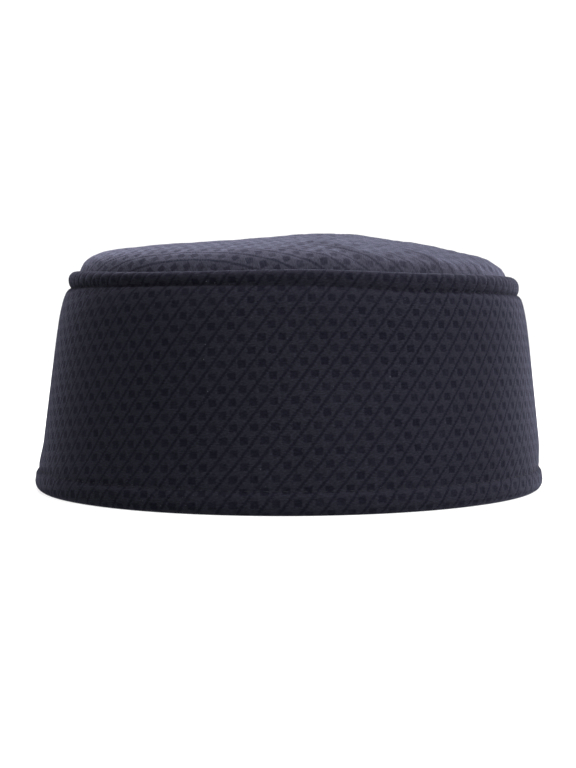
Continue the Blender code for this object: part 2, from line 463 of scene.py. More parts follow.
def arc(centre: tuple[float, float], reach: tuple[float, float], start: float, steps: int) -> list:
    """A quarter of an oval, as pairs, from the angle start in degrees.

    Args:
        centre: The oval's middle.
        reach: Its two half widths.
        start: Where the quarter starts, in degrees.
        steps: How many steps it has.

    Returns:
        The points, in order.
    """
    angles = np.radians(start + 90.0 * np.arange(steps + 1) / steps)
    return [(centre[0] + reach[0] * cos(turn), centre[1] + reach[1] * sin(turn)) for turn in angles]


def vertex_places(piece: bpy.types.Object) -> np.ndarray:
    """The mesh's vertices, one row each.

    Args:
        piece: The piece to read.

    Returns:
        One row of x, y and z for each.
    """
    places = np.empty(len(piece.data.vertices) * 3, np.float32)
    piece.data.vertices.foreach_get("co", places)
    return places.reshape(-1, 3).astype(float)


def put_vertices(piece: bpy.types.Object, places: np.ndarray) -> None:
    """Moves the mesh's vertices to new places.

    Args:
        piece: The piece to change.
        places: One row of x, y and z for each vertex.
    """
    piece.data.vertices.foreach_set("co", places.astype(np.float32).ravel())
    piece.data.update()


def azimuths(places: np.ndarray) -> np.ndarray:
    """The azimuths of points, in degrees."""
    return np.degrees(np.arctan2(places[:, 0], -places[:, 1]))


def run_along(line: np.ndarray) -> np.ndarray:
    """How far each point of a line lies from its first one, along the line."""
    return np.concatenate([[0.0], np.cumsum(np.linalg.norm(np.diff(line, axis=0), axis=1))])


def corner_vertices(piece: bpy.types.Object) -> np.ndarray:
    """The vertex at each face corner.

    Args:
        piece: The piece to read.

    Returns:
        One vertex number for each corner, in the order of the faces.
    """
    corners = np.empty(len(piece.data.loops), np.int32)
    piece.data.loops.foreach_get("vertex_index", corners)
    return corners


def write_cloth_map(piece: bpy.types.Object, cloth: np.ndarray) -> None:
    """Makes cloth coordinates the piece's only UV map.

    Args:
        piece: The piece to change.
        cloth: One row of cloth coordinates for each face corner.
    """
    for layer in list(piece.data.uv_layers):
        piece.data.uv_layers.remove(layer)
    layer = piece.data.uv_layers.new(name=CLOTH_MAP)
    layer.uv.foreach_set("vector", cloth.astype(np.float32).ravel())


def sink(piece: bpy.types.Object, depth: np.ndarray) -> None:
    """Moves each vertex inwards along its normal.

    Args:
        piece: The piece to change.
        depth: How far each vertex goes.
    """
    normals = np.empty(len(piece.data.vertices) * 3, np.float32)
    piece.data.vertex_normals.foreach_get("vector", normals)
    put_vertices(piece, vertex_places(piece) - normals.reshape(-1, 3) * depth[:, None])


def roughly(cloth: np.ndarray, width: float) -> np.ndarray:
    """Smooth noise from about -1 to 1 over cloth coordinates, with features of a given width."""
    return np.array([noise.noise((u, v, 0.0)) for u, v in (cloth / width).tolist()])


def farthest_from_solid(piece: bpy.types.Object, node: str) -> float:
    """The largest distance of the piece's vertices from the solid that it stands for.

    Args:
        piece: The piece to measure.
        node: The CAD node that it replaces.

    Returns:
        The distance, in metres.
    """
    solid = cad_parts[node].data
    tree = BVHTree.FromPolygons([v.co for v in solid.vertices], [p.vertices for p in solid.polygons])
    return max(tree.find_nearest(vertex.co)[3] for vertex in piece.data.vertices)


class Graph:
    """A node tree, with short calls that add nodes to it."""

    def __init__(self, tree: bpy.types.NodeTree) -> None:
        """Keeps the tree."""
        self.tree = tree

    def add(self, kind: str, **settings: object) -> bpy.types.Node:
        """Adds a node and sets its properties.

        Args:
            kind: The node's type.
            **settings: Its properties, by name.

        Returns:
            The node.
        """
        node = self.tree.nodes.new(kind)
        for key, value in settings.items():
            setattr(node, key, value)
        return node

    def feed(self, socket: bpy.types.NodeSocket, value: object) -> None:
        """Links a socket to an input, or sets the input to a plain value.

        Args:
            socket: The input.
            value: A socket or a plain value.
        """
        if isinstance(value, bpy.types.NodeSocket):
            self.tree.links.new(value, socket)
        else:
            socket.default_value = value

    def calc(self, operation: str, *values: object, clamp: bool = False) -> bpy.types.NodeSocket:
        """A Math node.

        Args:
            operation: The node's operation.
            *values: Sockets or numbers for its inputs.
            clamp: Whether the result is kept from 0 to 1.

        Returns:
            The node's output.
        """
        node = self.add("ShaderNodeMath", operation=operation, use_clamp=clamp)
        for socket, value in zip(node.inputs, values):
            self.feed(socket, value)
        return node.outputs[0]

    def plus(self, a: object, b: object) -> bpy.types.NodeSocket:
        """The sum of two values."""
        return self.calc("ADD", a, b)

    def minus(self, a: object, b: object) -> bpy.types.NodeSocket:
        """One value less another."""
        return self.calc("SUBTRACT", a, b)

    def times(self, a: object, b: object, clamp: bool = False) -> bpy.types.NodeSocket:
        """The product of two values."""
        return self.calc("MULTIPLY", a, b, clamp=clamp)

    def off_whole(self, value: object) -> bpy.types.NodeSocket:
        """How far a value lies from the nearest whole number."""
        return self.calc("ABSOLUTE", self.minus(value, self.calc("ROUND", value)))

    def relief(self, height: object, strength: float) -> bpy.types.NodeSocket:
        """A normal that shows heights, in metres, as bumps.

        Args:
            height: The height at each place.
            strength: How strongly the bumps are shaded, from 0 to 1.

        Returns:
            The normal.
        """
        bump = self.add("ShaderNodeBump")
        bump.inputs["Distance"].default_value = 1.0
        bump.inputs["Strength"].default_value = strength
        self.feed(bump.inputs["Height"], height)
        return bump.outputs[0]

    def fade(self, value: object, full: object, none: object) -> bpy.types.NodeSocket:
        """1 where a value is at full or below, eased to 0 where it reaches none.

        Args:
            value: The value to judge.
            full: Where the result is still 1.
            none: Where it is 0.

        Returns:
            The eased share.
        """
        node = self.add("ShaderNodeMapRange", interpolation_type="SMOOTHSTEP")
        for name, given in (("Value", value), ("From Min", full), ("From Max", none)):
            self.feed(node.inputs[name], given)
        node.inputs["To Min"].default_value = 1.0
        node.inputs["To Max"].default_value = 0.0
        return node.outputs["Result"]

    def noise(self, place: object, scale: tuple[float, float, float], detail: float) -> bpy.types.NodeSocket:
        """Noise on a stretched place, from 0 to 1.

        Args:
            place: The place, as a vector.
            scale: About how many of its features fit in a metre, on each axis.
            detail: How many finer layers it has.

        Returns:
            The noise.
        """
        stretch = self.add("ShaderNodeVectorMath", operation="MULTIPLY")
        self.feed(stretch.inputs[0], place)
        stretch.inputs[1].default_value = scale
        node = self.add("ShaderNodeTexNoise")
        node.inputs["Scale"].default_value = 1.0
        node.inputs["Detail"].default_value = detail
        self.feed(node.inputs["Vector"], stretch.outputs[0])
        return node.outputs[0]

    def blend(self, share: object, a: object, b: object) -> bpy.types.NodeSocket:
        """A colour between two others.

        Args:
            share: 0 for the first and 1 for the second.
            a: The first colour.
            b: The second colour.

        Returns:
            The colour.
        """
        node = self.add("ShaderNodeMix", data_type="RGBA")
        for socket, value in zip((node.inputs[0], node.inputs[6], node.inputs[7]), (share, a, b)):
            self.feed(socket, value)
        return node.outputs[2]

    def scaled(self, colour: object, amount: object) -> bpy.types.NodeSocket:
        """A colour made lighter or darker.

        Args:
            colour: A socket or a plain colour.
            amount: What it is multiplied by.

        Returns:
            The colour.
        """
        node = self.add("ShaderNodeVectorMath", operation="SCALE")
        self.feed(node.inputs[0], colour if isinstance(colour, bpy.types.NodeSocket) else colour[:3])
        self.feed(node.inputs["Scale"], amount)
        return node.outputs[0]


def new_group(name: str, inputs: tuple[str, ...], outputs: tuple[str, ...]) -> bpy.types.NodeTree:
    """An empty shader group whose first input is a vector and whose other sockets are numbers.

    Args:
        name: The group's name.
        inputs: The names of its inputs.
        outputs: The names of its outputs.

    Returns:
        The group.
    """
    group = bpy.data.node_groups.new(name, "ShaderNodeTree")
    for index, title in enumerate(inputs):
        kind = "NodeSocketVector" if index == 0 else "NodeSocketFloat"
        group.interface.new_socket(title, in_out="INPUT", socket_type=kind)
    for title in outputs:
        group.interface.new_socket(title, in_out="OUTPUT", socket_type="NodeSocketFloat")
    return group


def damask_group() -> bpy.types.NodeTree:
    """The damask's squares, slanting lines and threads, drawn from cloth coordinates.

    Returns:
        The group, whose outputs are masks from 0 to 1.
    """
    sizes = ("Column Pitch", "Row Pitch", "Square Width", "Square Height", "Line Width", "Thread Pitch")
    group = new_group("damask", ("Cloth", *sizes), ("Squares", "Lines", "Threads", "Streaks"))
    graph = Graph(group)
    calc, plus, minus, times = graph.calc, graph.plus, graph.minus, graph.times
    given = graph.add("NodeGroupInput").outputs
    result = graph.add("NodeGroupOutput").inputs
    cloth = given["Cloth"]
    column_pitch, row_pitch = given["Column Pitch"], given["Row Pitch"]
    # Metres: how far the figure strays from its chart, and how soft a square's edge is
    wander_along, wander_up = 0.0007, 0.0004
    ragged_along, ragged_up = 0.0012, 0.0008
    edge_softness = 0.00022
    # Shares: how strong the weakest square is, and how uneven the floats in a square are
    weakest_square, float_contrast, least_float = 0.65, 0.9, 0.5
    # Shares: how much a line goes in steps, its core and edge by its width, its run straight across
    stepped_share, line_core, line_edge, straight_across = 0.55, 0.25, 0.85, 0.77
    apart = graph.add("ShaderNodeSeparateXYZ")
    graph.feed(apart.inputs[0], cloth)
    # The noise's scales are features to the metre, along the weave's rows and across them
    wander = minus(graph.noise(cloth, (500.0, 500.0, 1.0), 1.0), 0.5)
    ragged = minus(graph.noise(cloth, (1100.0, 3000.0, 1.0), 1.0), 0.5)
    ragged_across = minus(graph.noise(cloth, (3000.0, 1500.0, 1.0), 1.0), 0.5)
    along = plus(apart.outputs[0], plus(times(wander, wander_along), times(ragged, ragged_along)))
    across = plus(plus(apart.outputs[1], times(wander, wander_up)), times(ragged_across, ragged_up))
    row = calc("ROUND", calc("DIVIDE", across, row_pitch))
    off_row = calc("ABSOLUTE", minus(across, times(row, row_pitch)))
    column = minus(calc("DIVIDE", along, column_pitch), times(row, 0.5))
    off_column = times(graph.off_whole(column), column_pitch)
    past_height = minus(off_row, times(given["Square Height"], 0.5))
    past_width = minus(off_column, times(given["Square Width"], 0.5))
    in_row = graph.fade(past_height, -edge_softness, edge_softness)
    in_column = graph.fade(past_width, -edge_softness, edge_softness)
    cell = graph.add("ShaderNodeCombineXYZ")
    graph.feed(cell.inputs[0], calc("ROUND", column))
    graph.feed(cell.inputs[1], row)
    uneven = graph.add("ShaderNodeTexWhiteNoise", noise_dimensions="2D")
    graph.feed(uneven.inputs["Vector"], cell.outputs[0])
    strength = plus(times(uneven.outputs[0], 1.0 - weakest_square), weakest_square)
    floats = plus(times(graph.noise(cloth, (2600.0, 2600.0, 1.0), 1.0), float_contrast), least_float)
    squares = times(times(in_row, in_column), times(strength, floats), clamp=True)
    step = times(given["Thread Pitch"], 2.0)
    stepped = times(calc("ROUND", calc("DIVIDE", across, step)), step)
    slanting = plus(times(stepped, stepped_share), times(across, 1.0 - stepped_share))
    slant_rows = calc("DIVIDE", times(slanting, 0.5), row_pitch)
    stripe = minus(minus(calc("DIVIDE", along, column_pitch), slant_rows), 0.5)
    off_line = times(times(graph.off_whole(stripe), column_pitch), straight_across)
    core = times(given["Line Width"], line_core)
    lines = graph.fade(off_line, core, times(given["Line Width"], line_edge))
    turn = calc("DIVIDE", 2.0 * pi, given["Thread Pitch"])
    ground_rib = calc("SINE", times(across, turn))
    square_rib = calc("SINE", times(along, turn))
    rib = plus(times(square_rib, squares), times(ground_rib, minus(1.0, squares)))
    threads = plus(times(rib, 0.5), 0.5)
    streaks = graph.noise(cloth, (900.0, 2800.0, 1.0), 2.0)
    for title, value in (("Squares", squares), ("Lines", lines), ("Threads", threads), ("Streaks", streaks)):
        graph.feed(result[title], value)
    return group


def lint_group() -> bpy.types.NodeTree:
    """Sparse pale specks of lint on the cloth.

    Returns:
        The group, whose output is 1 on a speck.
    """
    group = new_group("lint", ("Cloth", "Share"), ("Specks",))
    graph = Graph(group)
    given = graph.add("NodeGroupInput").outputs
    result = graph.add("NodeGroupOutput").inputs
    patch_share, sharpness = 0.35, 12.0
    fine = graph.noise(given["Cloth"], (1700.0, 1300.0, 1.0), 1.0)
    patch = graph.noise(given["Cloth"], (60.0, 60.0, 1.0), 1.0)
    level = graph.plus(fine, graph.times(patch, patch_share))
    above = graph.minus(level, graph.minus(1.0, given["Share"]))
    graph.feed(result["Specks"], graph.times(above, sharpness, clamp=True))
    return group


def new_finish(name: str) -> tuple[bpy.types.Material, Graph, bpy.types.Node]:
    """Starts a material.

    Args:
        name: The material's name.

    Returns:
        The material, its graph and its shader.
    """
    material = bpy.data.materials.new(name)
    material.use_nodes = True
    return material, Graph(material.node_tree), material.node_tree.nodes["Principled BSDF"]


@dataclass(frozen=True)
class DamaskFinish:
    """The right side of the damask: a fuzzy ground with smoother, darker squares and lines."""

    name: str
    ground: tuple[float, float, float, float] = (0.0082, 0.0082, 0.0120, 1.0)
    figure: tuple[float, float, float, float] = (0.0038, 0.0038, 0.0066, 1.0)
    lint_colour: tuple[float, float, float, float] = (0.16, 0.16, 0.19, 1.0)
    roughness: float = 0.9
    specular: float = 0.0
    ground_sheen: float = 0.20
    figure_sheen: float = 0.07
    sheen_roughness: float = 0.36
    sheen_tint: tuple[float, float, float, float] = (0.70, 0.70, 0.96, 1.0)
    line_strength: float = 0.85
    # How uneven the colour is: streaks, broad patches and threads, then lint
    streak_depth: float = 1.9
    patch_depth: float = 0.25
    patch_scale: tuple[float, float, float] = (34.0, 34.0, 1.0)
    thread_depth: float = 0.2
    lint_share: float = 0.03
    lint_cover: float = 0.35
    # A patch where the figure fades into the ground, none while its cover is 0: its core and edge are shares
    # of its reach
    fade_centre: tuple[float, float, float] = (0.0, 0.0, 0.0)
    fade_reach: float = 0.0
    fade_cover: float = 0.0
    fade_core: float = 0.4
    fade_edge: float = 2.0
    fade_scale: tuple[float, float, float] = (55.0, 55.0, 1.0)
    # The finest relief, in metres, and how strongly it is shaded
    figure_sunk: float = 0.00005
    thread_raised: float = 0.00003
    streak_raised: float = 0.00006
    bump_strength: float = 0.8

    def material(
        self, chart: DamaskChart, damask: bpy.types.NodeTree, lint: bpy.types.NodeTree
    ) -> bpy.types.Material:
        """Builds the finish.

        Args:
            chart: The weave's sizes.
            damask: The shared group that draws the weave.
            lint: The shared group that draws the specks.

        Returns:
            The material.
        """
        material, graph, ground = new_finish(self.name)
        place = graph.add("ShaderNodeUVMap", uv_map=CLOTH_MAP).outputs[0]
        weave = graph.add("ShaderNodeGroup", node_tree=damask)
        graph.feed(weave.inputs["Cloth"], place)
        for title, size in (
            ("Column Pitch", chart.column_pitch),
            ("Row Pitch", chart.row_pitch),
            ("Square Width", chart.square_width),
            ("Square Height", chart.square_height),
            ("Line Width", chart.line_width),
            ("Thread Pitch", chart.thread_pitch),
        ):
            weave.inputs[title].default_value = size
        squares, lines, threads, streaks = weave.outputs
        specks = graph.add("ShaderNodeGroup", node_tree=lint)
        graph.feed(specks.inputs["Cloth"], place)
        specks.inputs["Share"].default_value = self.lint_share
        patches = graph.noise(place, self.patch_scale, 3.0)
        tone = graph.plus(graph.times(graph.minus(streaks, 0.5), self.streak_depth), 1.0)
        tone = graph.plus(tone, graph.times(graph.minus(patches, 0.5), self.patch_depth))
        ribbed = graph.plus(graph.times(threads, self.thread_depth), 1.0 - self.thread_depth / 2.0)
        tone = graph.times(tone, ribbed)
        linty = graph.times(specks.outputs[0], self.lint_cover)
        height = graph.times(squares, -self.figure_sunk)
        for mask, raised in (
            (lines, -self.figure_sunk),
            (threads, self.thread_raised),
            (streaks, self.streak_raised),
        ):
            height = graph.plus(height, graph.times(mask, raised))
        normal = graph.relief(height, self.bump_strength)
        figure = graph.add("ShaderNodeBsdfPrincipled")
        for shader, colour, sheen in (
            (ground, self.ground, self.ground_sheen),
            (figure, self.figure, self.figure_sheen),
        ):
            toned = graph.blend(linty, graph.scaled(colour, tone), self.lint_colour)
            graph.feed(shader.inputs["Base Color"], toned)
            graph.feed(shader.inputs["Normal"], normal)
            shader.inputs["Roughness"].default_value = self.roughness
            shader.inputs["Specular IOR Level"].default_value = self.specular
            shader.inputs["Sheen Weight"].default_value = sheen
            shader.inputs["Sheen Roughness"].default_value = self.sheen_roughness
            shader.inputs["Sheen Tint"].default_value = self.sheen_tint
        both = graph.add("ShaderNodeMixShader")
        share = graph.calc("MAXIMUM", squares, graph.times(lines, self.line_strength))
        if self.fade_cover > 0.0:
            share = graph.times(share, self.clear_of_fade_patch(graph, place))
        for socket, value in zip(both.inputs, (share, ground.outputs[0], figure.outputs[0])):
            graph.feed(socket, value)
        graph.feed(material.node_tree.nodes["Material Output"].inputs["Surface"], both.outputs[0])
        return material

    def clear_of_fade_patch(self, graph: Graph, place: bpy.types.NodeSocket) -> bpy.types.NodeSocket:
        """How clearly the figure shows: less in a patch with a ragged edge, where it fades into the ground.

        Args:
            graph: The material's graph.
            place: The cloth coordinates.

        Returns:
            A share that the figure is multiplied by.
        """
        away = graph.add("ShaderNodeVectorMath", operation="DISTANCE")
        graph.feed(away.inputs[0], place)
        away.inputs[1].default_value = self.fade_centre
        rough = graph.times(graph.noise(place, self.fade_scale, 3.0), self.fade_reach)
        edge = graph.plus(away.outputs["Value"], rough)
        patch = graph.fade(edge, self.fade_reach * self.fade_core, self.fade_reach * self.fade_edge)
        return graph.minus(1.0, graph.times(patch, self.fade_cover))


@dataclass(frozen=True)
class ReverseFinish:
    """The reverse of the damask: floats of plain dark thread."""

    name: str
    colour: tuple[float, float, float, float] = (0.013, 0.013, 0.020, 1.0)
    float_scale: tuple[float, float, float] = (300.0, 2600.0, 1.0)
    darkest_float: float = 0.55
    float_relief: float = 0.0001
    roughness: float = 0.92
    specular: float = 0.2
    sheen: float = 0.1

    def material(self) -> bpy.types.Material:
        """Builds the finish.

        Returns:
            The material.
        """
        material, graph, shader = new_finish(self.name)
        place = graph.add("ShaderNodeUVMap", uv_map=CLOTH_MAP).outputs[0]
        floats = graph.noise(place, self.float_scale, 2.0)
        toned = graph.scaled(self.colour, graph.plus(floats, self.darkest_float))
        graph.feed(shader.inputs["Base Color"], toned)
        graph.feed(shader.inputs["Normal"], graph.relief(graph.times(floats, self.float_relief), 1.0))
        shader.inputs["Roughness"].default_value = self.roughness
        shader.inputs["Specular IOR Level"].default_value = self.specular
        shader.inputs["Sheen Weight"].default_value = self.sheen
        return material


@dataclass(frozen=True)
class ThreadFinish:
    """Twisted navy sewing thread, plainer than the cloth and painted darker than it: painted shade of the
    groove that the stitches lie in.
    """

    name: str
    # Painted darker than the cloth: painted shade of the stitching groove
    colour: tuple[float, float, float, float] = (0.0035, 0.0035, 0.0065, 1.0)
    ply_scale: float = 2600.0
    darkest_ply: float = 0.6
    roughness: float = 0.75
    specular: float = 0.1

    def material(self) -> bpy.types.Material:
        """Builds the finish.

        Returns:
            The material.
        """
        material, graph, shader = new_finish(self.name)
        place = graph.add("ShaderNodeTexCoord").outputs["Object"]
        ply = graph.noise(place, (self.ply_scale,) * 3, 1.0)
        graph.feed(shader.inputs["Base Color"], graph.scaled(self.colour, graph.plus(ply, self.darkest_ply)))
        shader.inputs["Roughness"].default_value = self.roughness
        shader.inputs["Specular IOR Level"].default_value = self.specular
        return material


@dataclass
class BandCloth:
    """The side band: one strip of damask, turned in at the hem and folded over into the welt."""

    form: CapForm
    chart: DamaskChart
    panel_wall: float = 0.0018
    hem_wall: float = 0.0044
    hem_belly_height: float = 0.0032
    hem_swell_out: float = 0.70
    hem_swell_down: float = 0.35
    hem_outer_round: float = 0.0026
    hem_inner_round: float = 0.0008
    hem_turning: float = 0.0024
    welt_round: float = 0.0024
    welt_turning: float = 0.0020
    step_slope: float = 0.0008
    stitch_groove: float = 0.0009
    hem_groove: float = 0.0002
    stitch_groove_reach: float = 0.0016
    # The groove from its upper edge down, by shares of its depth and its reach
    groove_shape: tuple[tuple[float, float], ...] = (
        (0.0, 1.6), (0.15, 1.0), (0.5, 0.45), (1.0, 0.0), (0.3, -0.4), (0.0, -1.0),
    )
    welt_notch: float = 0.00028
    columns: int = 720
    outer_step: float = 0.00078
    inner_step: float = 0.006
    round_steps: int = 5
    even_radius: float = 0.0915
    # The flat cloth: where its rows lie against the band, measured from the front of the photo's view
    front_azimuth: float = 11.5
    cloth_radius: float = 1.691
    cloth_turn: float = 0.0366
    cloth_shear: float = -0.0255
    cloth_start: tuple[float, float] = (0.01255, 0.04018)
    cut_length: float = 0.585
    cut_width: float = 0.102
    # The closing seam at the centre back
    seam_depth: float = 0.0005
    seam_reach: float = 0.0010
    # Where the relief fades out: above the foot, and by profile points from the crease
    foot_clear: float = 0.0008
    foot_fade: float = 0.002
    crease_stations: int = 3
    # How many vertices are looked up at a time, and how many points measure the ring's length
    search_part: int = 20000
    ring_points: int = 2881

    def outer_corners(self) -> list[tuple[float, float]]:
        """The outer face, from the crease over the welt and down to the foot.

        Returns:
            Insets and heights of its corners, in order.
        """
        form = self.form
        edge, belly = form.rim_edge_height, form.hem_belly
        stitch, reach = form.rim_stitch_height, self.stitch_groove_reach
        welt = arc((self.welt_round, edge - self.welt_round), (self.welt_round,) * 2, 90.0, self.round_steps)
        groove = [(self.stitch_groove * deep, stitch + reach * up) for deep, up in self.groove_shape]
        hem = [
            (0.0, form.hem_height + reach),
            (self.hem_groove, form.hem_height),
            (-belly * self.hem_swell_out, mix(form.hem_height, self.hem_belly_height, self.hem_swell_down)),
        ]
        foot_centre = (self.hem_outer_round - belly, self.hem_belly_height)
        foot = arc(foot_centre, (self.hem_outer_round, self.hem_belly_height), 180.0, self.round_steps)
        return [(form.welt_wall, form.crease_height), *welt, *groove, *hem, *foot]

    def inner_corners(self) -> list[tuple[float, float]]:
        """The inner face, from the foot up over the hem's turning to the foot of the welt's.

        Returns:
            Insets and heights of its corners, in order.
        """
        form = self.form
        face = self.hem_wall - form.hem_belly
        foot = arc((face - self.hem_inner_round, self.hem_inner_round), (self.hem_inner_round,) * 2, 270.0, 2)
        hem_top = form.hem_height + self.hem_turning
        welt_foot = form.rim_stitch_height - self.welt_turning
        return [
            *foot,
            (face, hem_top),
            (self.panel_wall, hem_top + self.step_slope),
            (self.panel_wall, welt_foot - self.step_slope),
            (form.welt_wall, welt_foot),
            (form.welt_wall, form.crease_height),
        ]

    def build(self) -> bpy.types.Object:
        """Turns the band as an even ring, gives it its real form and weaves its relief into it.

        Returns:
            The band.
        """
        outer, inner = self.outer_corners(), self.inner_corners()
        outer_points = finely([*outer, inner[0]], self.outer_step)
        points = np.array(outer_points + finely(inner, self.inner_step))
        profile = [(self.even_radius - inset, height) for inset, height in points]
        piece = turned("band_cloth", profile, self.columns, closed=True)
        even = vertex_places(piece)
        azimuth = azimuths(even)
        inset = self.even_radius - np.hypot(even[:, 0], even[:, 1])
        station = self.nearest_station(points, inset, even[:, 2])
        put_vertices(piece, self.form.band(azimuth, points[station, 0], points[station, 1]))
        slant = self.slants(points, len(outer_points))
        cloth = self.cloth_place(azimuth, slant[station])
        above_foot = ease((points[station, 1] - self.foot_clear) / self.foot_fade)
        on_face = np.where(station < len(outer_points), above_foot, 0.0)
        on_face = on_face * ease(station / self.crease_stations)
        off_seam = np.radians(FULL_TURN / 2.0 - np.abs(azimuth)) * self.even_radius
        seam = self.seam_depth * np.exp(-((off_seam / self.seam_reach) ** 2))
        notches = self.welt_notch * self.chart.on_line(cloth)
        up_welt = (points[station, 1] - self.form.rim_stitch_height) / self.form.welt_width
        on_welt = ease(up_welt * 2.0)
        sink(piece, (self.chart.relief(cloth) + seam + notches * on_welt) * on_face)
        self.lay_cloth(piece, azimuth, slant[station])
        sides = np.full(len(piece.data.polygons), Side.RIGHT.value, np.int32)
        corners = corner_vertices(piece).reshape(-1, 4)
        below_welt = points[station, 1] < self.form.rim_stitch_height
        inner_face = station[corners].min(axis=1) > len(outer_points) + self.crease_stations
        hidden = inner_face & below_welt[corners].all(axis=1)
        above_turning = points[station, 1][corners].min(axis=1) > self.form.hem_height + self.hem_turning
        sides[hidden & above_turning] = Side.REVERSE.value
        piece.data.polygons.foreach_set("material_index", sides)
        return piece

    def nearest_station(self, points: np.ndarray, inset: np.ndarray, height: np.ndarray) -> np.ndarray:
        """The profile point that each vertex of the even ring was turned from.

        Args:
            points: Insets and heights of the profile's points.
            inset: The inset of each vertex.
            height: The height of each vertex.

        Returns:
            The number of the point, for each vertex.
        """
        station = np.empty(len(inset), np.int64)
        for start in range(0, len(inset), self.search_part):
            part = slice(start, start + self.search_part)
            away = np.abs(inset[part, None] - points[None, :, 0])
            away += np.abs(height[part, None] - points[None, :, 1])
            station[part] = away.argmin(axis=1)
        return station

    def slants(self, points: np.ndarray, outer_count: int) -> np.ndarray:
        """How far up the cloth each profile point lies from the hem's stitching.

        Args:
            points: Insets and heights of the profile's points.
            outer_count: How many lie on the outer face.

        Returns:
            The distance for each point.
        """
        column = self.form.band(np.array(self.front_azimuth), points[:, 0], points[:, 1])
        run = run_along(column)
        off_stitch = np.abs(points[:outer_count, 1] - self.form.hem_height)
        return run[off_stitch.argmin()] - run

    def cloth_place(self, azimuth: np.ndarray, slant: np.ndarray) -> np.ndarray:
        """Cloth coordinates of points of the band.

        Args:
            azimuth: Azimuths, in degrees.
            slant: Distances up the cloth from the hem's stitching.

        Returns:
            One row of coordinates, along the weave's rows and across them, for each point.
        """
        turns = np.linspace(-FULL_TURN, FULL_TURN, self.ring_points)
        ring = self.form.band(turns, 0.0, self.form.hem_height)
        run = run_along(ring[:, :2])
        around = np.interp(azimuth, turns, run) - np.interp(self.front_azimuth, turns, run)
        middle = self.form.rim_stitch_height / 2.0
        swing = (around - self.cloth_shear * (slant - middle)) / self.cloth_radius
        radius = self.cloth_radius - slant
        x, y = radius * np.sin(swing), self.cloth_radius - radius * np.cos(swing)
        along = x * cos(self.cloth_turn) + y * sin(self.cloth_turn) - self.cloth_start[0]
        across = y * cos(self.cloth_turn) - x * sin(self.cloth_turn) - self.cloth_start[1]
        return np.stack([along, across], axis=-1)

    def lay_cloth(self, piece: bpy.types.Object, azimuth: np.ndarray, slant: np.ndarray) -> None:
        """Writes the cloth coordinates as a UV map, cut at the centre back seam.

        Args:
            piece: The band.
            azimuth: The azimuth of each vertex, in degrees.
            slant: How far up the cloth each vertex lies from the hem's stitching.
        """
        corners = corner_vertices(piece).reshape(-1, 4)
        turns = azimuth[corners]
        across_seam = turns.max(axis=1) - turns.min(axis=1) > FULL_TURN / 2.0
        turns = np.where(across_seam[:, None] & (turns < 0.0), turns + FULL_TURN, turns)
        write_cloth_map(piece, self.cloth_place(turns.ravel(), slant[corners].ravel()))


